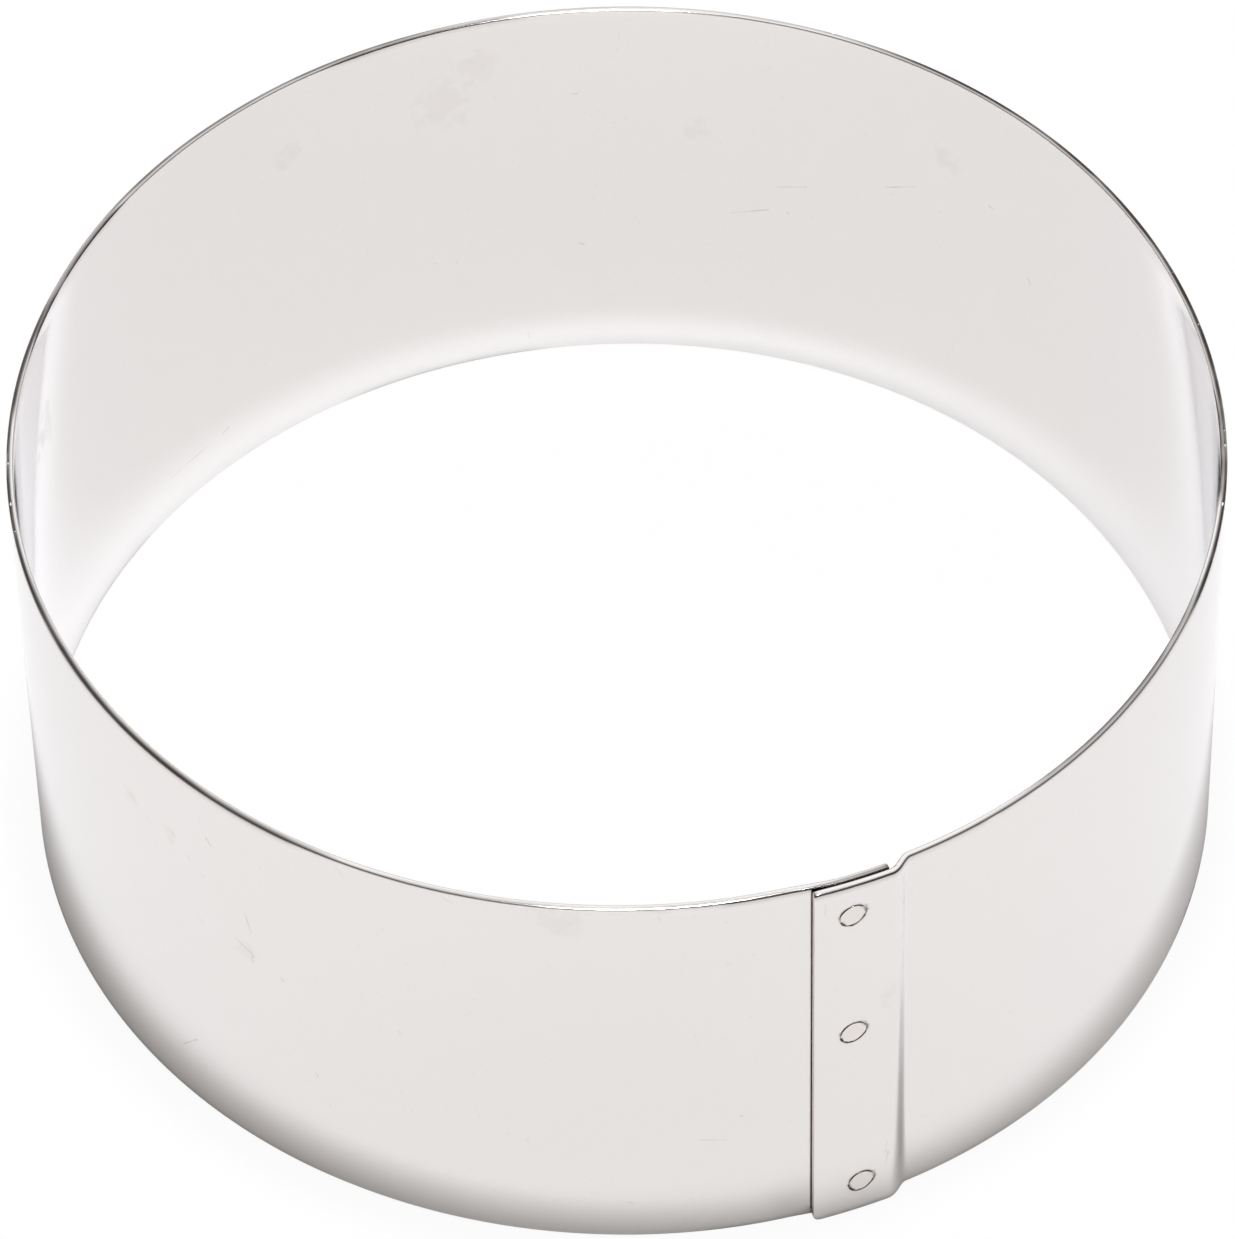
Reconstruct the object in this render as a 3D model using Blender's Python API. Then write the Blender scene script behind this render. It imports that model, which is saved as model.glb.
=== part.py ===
"""Pastry ring in stainless steel sheet.

One strip is rolled into a hoop. Its outer end steps out over its inner end in a joggled lap, where three spot
welds hold the two layers together. +Z is up, and the origin is the centre of the bottom rim.
"""

import math

import bmesh
import bpy
from mathutils import Matrix, Vector

MM = 0.001

# Driving dimensions of the strip
DIAMETER = 120.0 * MM
HEIGHT = 50.0 * MM
SHEET = 0.7 * MM
EDGE_BREAK = 0.08 * MM
CORNER_RADIUS = 0.7 * MM

# Driving dimensions of the lap
LAP_WIDTH = 7.75 * MM
LAP_GAP = 0.45 * MM
JOGGLE_LENGTH = 2.4 * MM
FREE_EDGE_BEARING = math.radians(286.5)

# Driving dimensions of the spot welds
WELD_DIAMETER = 3.0 * MM
WELD_CLEARANCE = 0.3 * MM
WELD_EDGE_BREAK = 0.1 * MM
BOTTOM_WELD_HEIGHT = 4.45 * MM
TOP_WELD_DEPTH = 4.37 * MM
MIDDLE_WELD_SHARE = 0.5605
CUT_OVERRUN = 1.0 * MM

# Where each weld sits across the lap, as a share of its width from the free edge: they were set by hand
ACROSS_LAP_SHARES = {"weld_bottom": 0.63, "weld_middle": 0.51, "weld_top": 0.49}

# The rolled hoop isn't quite round. Number of lobes: share of the radius, and the bearing of one lobe.
OUT_OF_ROUND_SHARES = {
    2: (0.0043, math.radians(116.0)),
    3: (0.0023, math.radians(70.0)),
    4: (0.0013, math.radians(48.0)),
}

# How finely each stretch is cut into facets
HOOP_STEPS = 176
LAP_STEPS = 4
JOGGLE_STEPS = 10
CORNER_STEPS = 5
WELD_SIDES = 32

# Sizes that follow from the ones above
RADIUS = DIAMETER / 2
LAP_STEP = SHEET + LAP_GAP
STRIP_LENGTH = math.tau * RADIUS + LAP_WIDTH
WELD_HEIGHTS = {
    "weld_bottom": BOTTOM_WELD_HEIGHT,
    "weld_middle": HEIGHT * MIDDLE_WELD_SHARE,
    "weld_top": HEIGHT - TOP_WELD_DEPTH,
}

SHARP_ANGLE = math.radians(50.0)

# Looks of the plain model
STEEL_COLOUR = (0.80, 0.78, 0.77, 1.0)
WELD_COLOUR = (0.72, 0.70, 0.69, 1.0)
STEEL_ROUGHNESS = 0.22
WELD_ROUGHNESS = 0.30


def clear_scene():
    for obj in list(bpy.data.objects):
        bpy.data.objects.remove(obj, do_unlink=True)


def steel(name, colour, roughness):
    material = bpy.data.materials.new(name)
    material.use_nodes = True
    shader = material.node_tree.nodes["Principled BSDF"]
    shader.inputs["Base Color"].default_value = colour
    shader.inputs["Metallic"].default_value = 1.0
    shader.inputs["Roughness"].default_value = roughness
    return material


def wall_radius(bearing):
    """Outer radius of the hoop at a bearing, without the lap."""
    waves = [
        share * math.cos(lobes * (bearing - lobe_bearing))
        for lobes, (share, lobe_bearing) in OUT_OF_ROUND_SHARES.items()
    ]
    return RADIUS * (1 + sum(waves))


def bearing_at(along):
    """Bearing of a place on the strip, from its distance along the strip to the outer end's free edge."""
    return FREE_EDGE_BEARING + along / RADIUS


def lift_at(along):
    """How far the strip stands out from the hoop: a step over the lap, then a smooth joggle to nothing."""
    turn = min(max((along - LAP_WIDTH) / JOGGLE_LENGTH, 0), 1)
    return LAP_STEP * (1 - turn * turn * (3 - 2 * turn))


def middle_of_sheet(along):
    """Plan position of the middle of the sheet's thickness."""
    bearing = bearing_at(along)
    radius = wall_radius(bearing) - SHEET / 2 + lift_at(along)
    return radius * math.cos(bearing), radius * math.sin(bearing)


def corner_inset(from_end):
    """How far a rounded corner draws the long edge in, at a distance from the strip's end."""
    to_centre = max(CORNER_RADIUS - from_end, 0)
    return CORNER_RADIUS - math.sqrt(CORNER_RADIUS**2 - to_centre**2)


def places_along_strip():
    """Distances along the strip at which it is cut into facets, from the free edge to the inner end."""
    corner_turns = [math.pi / 2 * step / CORNER_STEPS for step in range(CORNER_STEPS)]
    corner = [CORNER_RADIUS * (1 - math.cos(turn)) for turn in corner_turns]
    stretches = (
        (CORNER_RADIUS, LAP_WIDTH, LAP_STEPS),
        (LAP_WIDTH, LAP_WIDTH + JOGGLE_LENGTH, JOGGLE_STEPS),
        (LAP_WIDTH + JOGGLE_LENGTH, STRIP_LENGTH - CORNER_RADIUS, HOOP_STEPS),
    )
    places = list(corner)
    for start, end, steps in stretches:
        places += [start + (end - start) * step / steps for step in range(steps)]
    places.append(STRIP_LENGTH - CORNER_RADIUS)
    places += [STRIP_LENGTH - distance for distance in reversed(corner)]
    return places


def sheet_mesh():
    """The strip's middle surface: a ladder of quads from the free edge round to the inner end."""
    mesh = bpy.data.meshes.new("band")
    shape = bmesh.new()
    rungs = []
    for along in places_along_strip():
        x, y = middle_of_sheet(along)
        inset = corner_inset(min(along, STRIP_LENGTH - along))
        bottom = shape.verts.new((x, y, inset))
        top = shape.verts.new((x, y, HEIGHT - inset))
        rungs.append((bottom, top))
    for (bottom, top), (next_bottom, next_top) in zip(rungs, rungs[1:]):
        shape.faces.new((bottom, next_bottom, next_top, top))
    shape.to_mesh(mesh)
    shape.free()
    mesh.shade_smooth()
    return mesh


def rod_mesh(name, radius, length):
    """A round rod centred on its origin, along Z."""
    mesh = bpy.data.meshes.new(name)
    shape = bmesh.new()
    bmesh.ops.create_cone(
        shape, cap_ends=True, segments=WELD_SIDES, radius1=radius, radius2=radius, depth=length
    )
    shape.to_mesh(mesh)
    shape.free()
    mesh.shade_smooth()
    return mesh


def add_object(name, mesh, parent, material=None):
    obj = bpy.data.objects.new(name, mesh)
    bpy.context.scene.collection.objects.link(obj)
    obj.parent = parent
    if material is not None:
        obj.data.materials.clear()
        obj.data.materials.append(material)
    return obj


def add_bevel(obj, width):
    bevel = obj.modifiers.new("edge_break", "BEVEL")
    bevel.width = width
    bevel.segments = 1
    bevel.limit_method = "ANGLE"
    bevel.angle_limit = SHARP_ANGLE
    bevel.use_clamp_overlap = False
    bevel.harden_normals = True


def add_band(parent):
    band = add_object("band", sheet_mesh(), parent, steel("band_steel", STEEL_COLOUR, STEEL_ROUGHNESS))
    wall = band.modifiers.new("sheet", "SOLIDIFY")
    wall.thickness = SHEET
    wall.offset = 0
    wall.use_even_offset = True
    add_bevel(band, EDGE_BREAK)
    return band


def place_across_lap(obj, weld):
    """Stands a rod square to the wall at a weld, centred on the two layers' joint thickness."""
    bearing = bearing_at(LAP_WIDTH * ACROSS_LAP_SHARES[weld])
    radius = wall_radius(bearing) + (LAP_STEP - SHEET) / 2
    outward = Vector((math.cos(bearing), math.sin(bearing), 0))
    turned = outward.to_track_quat("Z", "Y").to_matrix().to_4x4()
    obj.matrix_local = Matrix.Translation(outward * radius + Vector((0, 0, WELD_HEIGHTS[weld]))) @ turned


def add_welds(band, parent):
    """Three welds through both layers, each in a hole that is one clearance wider all round."""
    through = LAP_STEP + SHEET
    weld_steel = steel("weld_steel", WELD_COLOUR, WELD_ROUGHNESS)
    weld_mesh = rod_mesh("weld", WELD_DIAMETER / 2, through)
    hole_mesh = rod_mesh("weld_hole", WELD_DIAMETER / 2 + WELD_CLEARANCE, through + 2 * CUT_OVERRUN)
    for name in WELD_HEIGHTS:
        weld = add_object(name, weld_mesh, parent, weld_steel)
        add_bevel(weld, WELD_EDGE_BREAK)
        place_across_lap(weld, name)
        cutter = add_object("hole_for_" + name, hole_mesh, parent)
        cutter.hide_render = True
        cutter.display_type = "WIRE"
        place_across_lap(cutter, name)
        cut = band.modifiers.new("hole_for_" + name, "BOOLEAN")
        cut.operation = "DIFFERENCE"
        cut.solver = "EXACT"
        cut.object = cutter


def main():
    clear_scene()
    ring = bpy.data.objects.new("pastry_ring", None)
    bpy.context.scene.collection.objects.link(ring)
    band = add_band(ring)
    add_welds(band, ring)


main()
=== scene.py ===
# %% [markdown]
# # A pastry ring
#
# A pastry ring is one strip of stainless steel sheet. It is rolled into a hoop, its outer end steps out
# over its inner end, and three spot welds hold the two layers together. So all of its looks lie in three
# things: how true the sheet is, how its cut edges catch the light, and what the bright metal mirrors. The
# measured model comes in first, and every piece made below stands where that model says.

import math
import random

import bmesh
import bpy
from mathutils import Matrix, Vector


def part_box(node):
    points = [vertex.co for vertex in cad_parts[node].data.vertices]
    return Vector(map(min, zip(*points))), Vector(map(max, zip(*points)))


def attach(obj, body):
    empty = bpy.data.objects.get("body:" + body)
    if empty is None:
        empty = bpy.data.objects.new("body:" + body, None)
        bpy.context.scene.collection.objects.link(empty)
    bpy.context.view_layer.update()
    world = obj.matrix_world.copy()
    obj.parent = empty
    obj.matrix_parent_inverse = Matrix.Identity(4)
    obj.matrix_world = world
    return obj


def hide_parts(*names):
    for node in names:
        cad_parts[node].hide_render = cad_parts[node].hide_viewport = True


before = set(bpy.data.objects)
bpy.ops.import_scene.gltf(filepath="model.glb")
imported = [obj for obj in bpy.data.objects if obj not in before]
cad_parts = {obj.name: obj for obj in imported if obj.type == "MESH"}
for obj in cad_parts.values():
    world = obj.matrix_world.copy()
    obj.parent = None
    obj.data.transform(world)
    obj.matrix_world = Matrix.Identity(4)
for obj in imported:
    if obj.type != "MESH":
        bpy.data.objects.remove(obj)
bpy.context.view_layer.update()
MM = 0.001


# %% [markdown]
# ## The camera
#
# The view is a product photographer's: from far off with a long lens, looking down at 49 degrees, so that
# the far wall shows inside the hoop and the near wall outside it. An ellipse says which way a camera looks,
# because the ring's four rims must all fit at once. The camera is aimed at a point and then rolled about
# its own axis.

# %% Camera
AIM = Vector((-0.38, -1.79, 25.0)) * MM
CAMERA_DISTANCE = 851.0 * MM
CAMERA_ELEVATION = math.radians(48.63)
CAMERA_ROLL = math.radians(-1.33)
SENSOR = 36.0
LENS = 247.2


def add_object(name, data):
    """A new object in the scene that holds this mesh, lamp or camera."""
    made = bpy.data.objects.new(name, data)
    bpy.context.scene.collection.objects.link(made)
    return made


def add_camera():
    data = bpy.data.cameras.new("camera")
    data.sensor_fit = "VERTICAL"
    data.sensor_height = SENSOR
    data.lens = LENS
    camera = add_object("camera", data)
    tilt = Matrix.Rotation(math.pi / 2 - CAMERA_ELEVATION, 4, "X")
    roll = Matrix.Rotation(CAMERA_ROLL, 4, "Z")
    back = Matrix.Translation((0, 0, CAMERA_DISTANCE))
    camera.matrix_world = Matrix.Translation(AIM) @ tilt @ roll @ back
    bpy.context.scene.camera = camera
    return camera


camera = add_camera()
print("camera at", [round(value, 4) for value in camera.matrix_world.translation])

# %% [markdown]
# ## Building node trees from Python
#
# Both the geometry and the materials below are node trees. A few helpers keep that readable. `made` places a
# node and gives what it puts out, `new_tree` starts a tree with named inputs, `put_out` ends it, and `Field`
# lets a formula be written with Python's own signs, each of which becomes a node.

# %% Node helpers
class Field:
    """A value that a node tree works out at each point. Its signs and methods add nodes to the tree."""

    def __init__(self, tree, socket):
        self.tree = tree
        self.socket = socket

    def math(self, operation, *others):
        return made(self.tree, "ShaderNodeMath", dict(enumerate((self, *others))), operation=operation)

    def vector(self, operation, *others):
        """A Vector Math node's result: a number for a length, a distance or a dot product, else a vector."""
        inputs = dict(enumerate((self, *others)))
        output = 1 if operation in ("LENGTH", "DISTANCE", "DOT_PRODUCT") else 0
        return made(self.tree, "ShaderNodeVectorMath", inputs, output, operation=operation)

    def __add__(self, other):
        return self.math("ADD", other)

    def __sub__(self, other):
        return self.math("SUBTRACT", other)

    def __rsub__(self, other):
        return self.math("MULTIPLY", -1).math("ADD", other)

    def __mul__(self, other):
        return self.math("MULTIPLY", other)

    def __truediv__(self, other):
        return self.math("DIVIDE", other)

    def __neg__(self):
        return self.math("MULTIPLY", -1)

    __radd__ = __add__
    __rmul__ = __mul__

    def cosine(self):
        return self.math("COSINE")

    def between(self, low, high):
        """Held between two values."""
        return self.math("MAXIMUM", low).math("MINIMUM", high)

    def eased(self):
        """From 0 to 1 with a soft start and a soft end."""
        held = self.between(0, 1)
        return held * held * (3 - 2 * held)

    def rise(self, start, end):
        """Softly from 0 at the start value to 1 at the end value, which may be the lower of the two."""
        return ((self - start) / (end - start)).eased()

    def scaled(self, factor):
        """This vector times a number."""
        return made(self.tree, "ShaderNodeVectorMath", {0: self, "Scale": factor}, operation="SCALE")

    def parts(self):
        """The X, Y and Z of this vector."""
        split = add_node(self.tree, "ShaderNodeSeparateXYZ", {0: self})
        return [Field(self.tree, socket) for socket in split.outputs]

    def noise(self, scale, detail=1.0):
        """A smooth noise at this place, mostly between 0.25 and 0.75."""
        return made(self.tree, "ShaderNodeTexNoise", {"Vector": self, "Scale": scale, "Detail": detail})

    def mix(self, below, above):
        """One colour laid over another, as strongly as this mask says."""
        return made(self.tree, "ShaderNodeMix", {0: self, 6: below, 7: above}, 2, data_type="RGBA")


def fill(node, inputs):
    """Links fields into a node's sockets, and sets the other sockets to plain values."""
    for name, value in inputs.items():
        if isinstance(value, Field):
            node.id_data.links.new(value.socket, node.inputs[name])
        else:
            node.inputs[name].default_value = value


def add_node(tree, kind, inputs=None, **settings):
    node = tree.nodes.new(kind)
    for name, value in settings.items():
        setattr(node, name, value)
    fill(node, inputs or {})
    return node


def made(tree, kind, inputs=None, output=0, **settings):
    """What a new node puts out."""
    return Field(tree, add_node(tree, kind, inputs, **settings).outputs[output])


def joined(tree, x, y, z):
    """A vector from its three parts."""
    return made(tree, "ShaderNodeCombineXYZ", {"X": x, "Y": y, "Z": z})


def add_sockets(tree, in_out, form, names):
    for name in names:
        tree.interface.new_socket(name=name, in_out=in_out, socket_type="NodeSocket" + form)


def new_tree(name, kind="ShaderNodeTree", **inputs):
    """A tree with inputs, whose names are listed by form. Returns it with a dictionary of them."""
    tree = bpy.data.node_groups.new(name, kind)
    for form, names in inputs.items():
        add_sockets(tree, "INPUT", form, names)
    given = tree.nodes.new("NodeGroupInput")
    return tree, {name: Field(tree, given.outputs[name]) for names in inputs.values() for name in names}


def put_out(tree, outputs, form="Float"):
    """Gives the tree outputs of one form, with what each puts out, and returns the tree."""
    add_sockets(tree, "OUTPUT", form, outputs)
    add_node(tree, "NodeGroupOutput", outputs)
    return tree


print("node helpers ready")

# %% [markdown]
# ## The strip
#
# The real strip is sheared from a coil, rolled, and stepped at one end by a joggling tool. Its shape follows
# a rule: where a place on the strip goes depends only on its distance along the strip. So Geometry Nodes
# draws the strip's path from that rule and sweeps the sheet's section along it, and each number in the rule
# is a named input. The sizes are the measured model's, and the height is read from its box.

# %% Sizes of the strip
BAND_LOW, BAND_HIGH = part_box("band")
HEIGHT = BAND_HIGH[2] - BAND_LOW[2]
RADIUS = 60.0 * MM
SHEET = 0.7 * MM
LAP_WIDTH = 7.75 * MM
LAP_GAP = 0.45 * MM
JOGGLE_LENGTH = 2.4 * MM
FREE_EDGE_BEARING = math.radians(286.5)
CORNER_RADIUS = 0.7 * MM

# The rolled hoop isn't quite round. Number of lobes: share of the radius, and the bearing of one lobe.
OUT_OF_ROUND_SHARES = {
    2: (0.0043, math.radians(116.0)),
    3: (0.0023, math.radians(70.0)),
    4: (0.0013, math.radians(48.0)),
}
LAP_STEP = SHEET + LAP_GAP
STRIP_LENGTH = math.tau * RADIUS + LAP_WIDTH
print("height", round(HEIGHT / MM, 3), "mm, strip length", round(STRIP_LENGTH / MM, 1), "mm")

# %% [markdown]
# Fine detail needs close points only where the sheet bends sharply, at the two ends, and where the weld
# holes are cut. There the path has a point every 0.15 mm, and everywhere else one every millimetre. The
# inner layer closes up to the outer one over the lap, which in the measured model it doesn't.

# %% Inputs of the strip's tree
FINE_PAST_JOGGLE = 0.3 * MM
STRIP_VALUES = {
    "Radius": RADIUS,
    "Height": HEIGHT,
    "Sheet": SHEET,
    "Lap width": LAP_WIDTH,
    "Lap step": LAP_STEP,
    "Joggle length": JOGGLE_LENGTH,
    "Free edge bearing": FREE_EDGE_BEARING,
    "Corner radius": CORNER_RADIUS,
    "Top corner share": 0.2,
    "Strip length": STRIP_LENGTH,
    "Outer edge radius": 0.17 * MM,
    "Inner edge radius": 0.14 * MM,
    "End edge radius": 0.10 * MM,
    "Closing": 0.35 * MM,
    "Closing length": 6.0 * MM,
    "Closing start": 2.5 * MM,
    "Fine length": LAP_WIDTH + JOGGLE_LENGTH + FINE_PAST_JOGGLE,
    "Unevenness": 0.05 * MM,
    "Edge tilt": 0.16,
    "Crown": 0.04 * MM,
    "Side crown": 0.11 * MM,
}
STRIP_COUNTS = {"Corner points": 10, "Fine points": 67, "Coarse points": 364, "Rows": 30, "Rim points": 3,
                "Edge points": 5}
for count, (share, bearing) in OUT_OF_ROUND_SHARES.items():
    STRIP_VALUES[f"Share of {count} lobes"] = share
    STRIP_VALUES[f"Bearing of {count} lobes"] = bearing
print(len(STRIP_VALUES) + len(STRIP_COUNTS), "inputs")


# %% The rule for a place on the strip
def distance_along(tree, given):
    """Distance from the free edge of the path's point with this index."""
    index = made(tree, "GeometryNodeInputIndex")
    passed = []
    for points in ("Corner points", "Fine points", "Coarse points", "Fine points", "Corner points"):
        passed.append(index.between(0, given[points]) / given[points])
        index = index - given[points]
    start_corner, start_fine, coarse, end_fine, end_corner = passed
    quarter = math.pi / 2
    corners = 1 - (start_corner * quarter).cosine() + (end_corner * quarter).math("SINE")
    coarse_length = given["Strip length"] - 2 * given["Corner radius"] - 2 * given["Fine length"]
    straight = (start_fine + end_fine) * given["Fine length"] + coarse * coarse_length
    return given["Corner radius"] * corners + straight


def hoop_share(bearing, lobes, cosine=Field.cosine):
    """The hoop's radius at a bearing, as a share of its mean radius."""
    return sum((cosine((bearing - lobe) * count) * share for count, (share, lobe) in lobes.items()), 1)


def radius_at(given, along, bearing):
    """Distance from the ring's axis to the middle of the sheet."""
    lobes = {
        count: (given[f"Share of {count} lobes"], given[f"Bearing of {count} lobes"])
        for count in OUT_OF_ROUND_SHARES
    }
    past_lap = (along - given["Lap width"]) / given["Joggle length"]
    lift = given["Lap step"] * (1 - past_lap.eased())
    past_start = along - (given["Strip length"] - given["Lap width"] - given["Closing start"])
    closed = given["Closing"] * (past_start / given["Closing length"]).eased()
    return given["Radius"] * hoop_share(bearing, lobes) + lift + closed - given["Sheet"] / 2


print("rules ready")


# %% [markdown]
# The path is a row of points, moved to where the rule puts them. The section is a rectangle as wide as the
# sheet is thick, with its four corners rounded: the shear leaves the outer edge rounder than the inner one.
# Each point of the path and of the section stores its own place on the strip, because the finished skin
# needs it again.

# %% Path and section
def store(tree, geometry, name, value):
    inputs = {"Geometry": geometry, "Name": name, "Value": value}
    return made(tree, "GeometryNodeStoreNamedAttribute", inputs, data_type="FLOAT", domain="POINT")


def stored(tree, name):
    return made(tree, "GeometryNodeInputNamedAttribute", {"Name": name}, "Attribute", data_type="FLOAT")


def polar(radius, bearing, height):
    """A place from its distance to the axis, its bearing and its height."""
    return joined(bearing.tree, radius * bearing.cosine(), radius * bearing.math("SINE"), height)


def strip_path(tree, given):
    count = 2 * (given["Corner points"] + given["Fine points"]) + given["Coarse points"] + 1
    line = made(tree, "GeometryNodeMeshLine", {"Count": count})
    curve = made(tree, "GeometryNodeMeshToCurve", {"Mesh": line})
    kept = store(tree, curve, "along", distance_along(tree, given))
    along = stored(tree, "along")
    bearing = along / given["Radius"] + given["Free edge bearing"]
    place = polar(radius_at(given, along, bearing), bearing, given["Height"] / 2)
    moved = made(tree, "GeometryNodeSetPosition", {"Geometry": kept, "Position": place})
    return made(tree, "GeometryNodeSetCurveNormal", {"Curve": moved}, mode="Z_UP")


def is_either(index, first, second):
    """1 on the points with these two numbers, and 0 on all others."""
    return index.math("COMPARE", first, 0.5) + index.math("COMPARE", second, 0.5)


def strip_section(tree, given):
    """A rectangle with rounded corners. Corners 1 and 2 of the rectangle are on the sheet's inner side."""
    box = made(tree, "GeometryNodeCurvePrimitiveQuadrilateral",
               {"Width": given["Sheet"], "Height": given["Height"]}, mode="RECTANGLE")
    index = made(tree, "GeometryNodeInputIndex")
    outer, inner = given["Outer edge radius"], given["Inner edge radius"]
    rounding = outer + is_either(index, 1, 2) * (inner - outer)
    rounded = made(tree, "GeometryNodeFilletCurve",
                   {"Curve": box, "Count": given["Edge points"], "Radius": rounding}, mode="POLY")
    corner = given["Edge points"] + 1
    starts_side = is_either(index, 2 * corner - 1, 4 * corner - 1)
    starts_rim = is_either(index, corner - 1, 3 * corner - 1)
    cuts = starts_side * given["Rows"] + starts_rim * given["Rim points"]
    rows = made(tree, "GeometryNodeSubdivideCurve", {"Curve": rounded, "Cuts": cuts})
    across, up, _ = made(tree, "GeometryNodeInputPosition").parts()
    return store(tree, store(tree, rows, "across", across), "up", up)


print("path and section ready")


# %% [markdown]
# The sweep gives a strip with square ends and straight rims, which is too perfect. One more Set Position
# finishes the skin. It rounds the strip's corners, softens the two end edges, tilts the cut rims a little
# this way and that, lets them fall off outwards, and lets the wall run a few hundredths of a millimetre in
# and out, as rolled sheet does. All of that takes metal away, so the ring keeps its measured size.

# %% Finishing the skin
RIM_REACH = 0.5 * MM
UNEVEN_SCALE = 28.0
TILT_SCALE = 45.0
NOISE_MIDDLE = 0.5
NOISE_TOP = 0.75


def inset(radius, distance):
    """How far a rounded edge of this radius has fallen away, at a distance from where it ends."""
    to_centre = (radius - distance).math("MAXIMUM", 0)
    return radius - (radius * radius - to_centre * to_centre).math("MAXIMUM", 0).math("SQRT")


def finished_skin(tree, given, geometry):
    along, across, up = (stored(tree, name) for name in ("along", "across", "up"))
    position = made(tree, "GeometryNodeInputPosition")
    bearing = along / given["Radius"] + given["Free edge bearing"]
    from_end = along.math("MINIMUM", given["Strip length"] - along)
    half = given["Height"] / 2
    top_share = given["Top corner share"]
    corner_share = (1 + top_share - up / half * (1 - top_share)) / 2
    scale = 1 - inset(given["Corner radius"], from_end) * corner_share / half
    tilt = (position.noise(TILT_SCALE) - NOISE_MIDDLE) * 2 * given["Edge tilt"]
    side = up.math("SIGN")
    rim = ((up.math("ABSOLUTE") - half) / RIM_REACH + 1).eased()
    drop = tilt * across - side * tilt.math("ABSOLUTE") * given["Sheet"] / 2
    sideways = bearing.cosine()
    crown = given["Crown"] + given["Side crown"] * sideways * sideways
    outward = (across / given["Sheet"] + 0.5).between(0, 1)
    height = half + up * scale + (drop - side * crown * outward * outward * outward) * rim
    thinner = across / (given["Sheet"] / -2) * inset(given["End edge radius"], from_end)
    dent = (position.noise(UNEVEN_SCALE) - NOISE_TOP) * given["Unevenness"]
    x, y, _ = position.parts()
    return made(tree, "GeometryNodeSetPosition", {
        "Geometry": geometry, "Position": joined(tree, x, y, height),
        "Offset": polar(thinner + dent, bearing, 0.0),
    })


def strip_tree():
    tree, given = new_tree("Rolled strip", "GeometryNodeTree", Float=STRIP_VALUES, Int=STRIP_COUNTS,
                           Material=("Material",))
    skin = made(tree, "GeometryNodeCurveToMesh", {
        "Curve": strip_path(tree, given), "Profile Curve": strip_section(tree, given), "Fill Caps": True,
    })
    real = made(tree, "GeometryNodeRealizeInstances", {"Geometry": finished_skin(tree, given, skin)})
    painted = made(tree, "GeometryNodeSetMaterial", {"Geometry": real, "Material": given["Material"]})
    return put_out(tree, {"Geometry": painted}, "Geometry")


STRIP_TREE = strip_tree()
print("strip tree:", len(STRIP_TREE.nodes), "nodes")

# %% [markdown]
# ## From a live modifier to a plain mesh
#
# The tree runs on an empty object. Its inputs are set by each socket's identifier, before anything
# looks at the object, and the result is then copied out as a plain mesh. The modifier goes with the empty
# object.

# %% Plain copies
def plain_copy(source, name):
    """A new object at the origin whose mesh is the source's finished shape. The source is removed."""
    graph = bpy.context.evaluated_depsgraph_get()
    mesh = bpy.data.meshes.new_from_object(source.evaluated_get(graph))
    mesh.name = name
    bpy.data.objects.remove(source, do_unlink=True)
    return add_object(name, mesh)


def grown(name, tree, values):
    """A plain piece made by a Geometry Nodes tree from these values."""
    source = add_object(name + "_source", bpy.data.meshes.new(name))
    modifier = source.modifiers.new("tree", "NODES")
    modifier.node_group = tree
    for item in tree.interface.items_tree:
        if item.in_out == "INPUT" and item.name in values:
            modifier[item.identifier] = values[item.name]
    return plain_copy(source, name)


def size_text(piece):
    """The piece's box in millimetres and its triangles, for printing."""
    places = [vertex.co for vertex in piece.data.vertices]
    low = [round(min(place[axis] for place in places) / MM, 2) for axis in range(3)]
    high = [round(max(place[axis] for place in places) / MM, 2) for axis in range(3)]
    triangles = sum(len(face.vertices) - 2 for face in piece.data.polygons)
    return f"{piece.name}: {low} to {high} mm, {triangles} triangles"


print("plain copies ready")

# %% [markdown]
# ## Groups for the steel
#
# Cold-rolled stainless steel is nearly a mirror, so most of what the eye takes for its colour is the studio
# round it. What the sheet adds is small: how sharp its reflections are, how its cut edges break them, and
# the marks of hands and tools. Each of those is a node group that puts out masks from a place on the ring.
# The strip and the welds are both steel, so both use the groups.
#
# The mill's rolls leave faint lines along the sheet. They are a noise squeezed in height, so that each line
# is a few tenths of a millimetre high and centimetres long. The same group gives slow clouds, for a skin
# that isn't evenly clean, and a scatter of specks.

# %% Mill grain
SKIN_LOOK = {"Lines per metre": 3200.0, "Stretch": 60.0, "Clouds per metre": 90.0, "Specks per metre": 2600.0,
             "Speck level": 0.80}
SPECK_SOFTNESS = 0.05


def placed(tree, group, inputs):
    return add_node(tree, "ShaderNodeGroup", inputs, node_tree=group)


def mill_grain_group():
    tree, given = new_tree("Mill grain", Vector=("Position",), Float=SKIN_LOOK)
    position = given["Position"]
    level = given["Lines per metre"] / given["Stretch"]
    squeezed = position.vector("MULTIPLY", joined(tree, level, level, given["Lines per metre"]))
    grit = position.noise(given["Specks per metre"], 0.0)
    return put_out(tree, {
        "Lines": squeezed.noise(1.0) - NOISE_MIDDLE,
        "Clouds": position.noise(given["Clouds per metre"]) - NOISE_MIDDLE,
        "Specks": ((grit - given["Speck level"]) / SPECK_SOFTNESS).eased(),
    })


MILL_GRAIN = mill_grain_group()
print("mill grain:", len(MILL_GRAIN.nodes), "nodes")
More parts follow.
